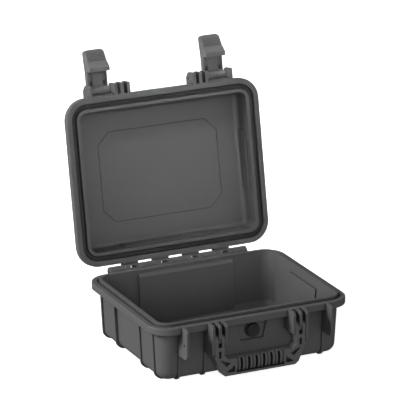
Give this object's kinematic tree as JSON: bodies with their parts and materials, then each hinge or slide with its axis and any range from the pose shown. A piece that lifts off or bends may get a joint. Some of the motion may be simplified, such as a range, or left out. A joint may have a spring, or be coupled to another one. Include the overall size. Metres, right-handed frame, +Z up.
{
  "type": "drone carrying case",
  "caption": "Small rigid carrying case standing open: deep base, hinged lid with seal, swing-out latches, folding grip handle and a round pressure valve.",
  "frame": {"origin": "centre of the plane that the base's foot ribs rest on", "axes": "+X to the right seen from the handle side, +Y to the hinge at the back, +Z up"},
  "size_m": [0.27, 0.3216, 0.3453],
  "materials": {
    "shell": "fine moulded texture",
    "fittings": "fine moulded texture",
    "steel": "drawn pin",
    "seal": "soft",
    "knob": "satin black",
    "valve": "satin black",
    "membrane": "thin breathing film"
  },
  "bodies": {
    "base": {"base_shell": "shell", "hinge_pin": "steel", "handle_pin_right": "steel", "handle_pin_left": "steel", "valve_body": "valve", "valve_gasket": "seal", "valve_nut": "valve", "valve_membrane": "membrane"},
    "lid": {"lid_shell": "shell", "lid_gasket": "seal", "latch_pin_right": "steel", "latch_pin_left": "steel"},
    "latch_right": {"latch_right": "fittings"},
    "latch_left": {"latch_left": "fittings"},
    "handle": {"handle": "fittings"},
    "valve_knob": {"valve_knob": "knob", "valve_seal_ring": "seal"}
  },
  "joints": [
    {"name": "lid_hinge", "type": "hinge", "parent": "base", "child": "lid", "pos_m": [0, 0.1167, 0.0721], "axis": [1, 0, 0], "range_deg": [0, 101]},
    {"name": "latch_right_hinge", "type": "hinge", "parent": "lid", "child": "latch_right", "pos_m": [0.0814, 0.17868, 0.29558], "axis": [1, 0, 0], "range_deg": [0, 90]},
    {"name": "latch_left_hinge", "type": "hinge", "parent": "lid", "child": "latch_left", "pos_m": [-0.0814, 0.17868, 0.29558], "axis": [1, 0, 0], "range_deg": [0, 90]},
    {"name": "handle_hinge", "type": "hinge", "parent": "base", "child": "handle", "pos_m": [0, -0.115, 0.054], "axis": [-1, 0, 0], "range_deg": [0, 90]},
    {"name": "valve_turn", "type": "hinge", "parent": "base", "child": "valve_knob", "pos_m": [0, -0.09493, 0.0531], "axis": [0, 1, 0], "range_deg": [0, 180]}
  ]
}
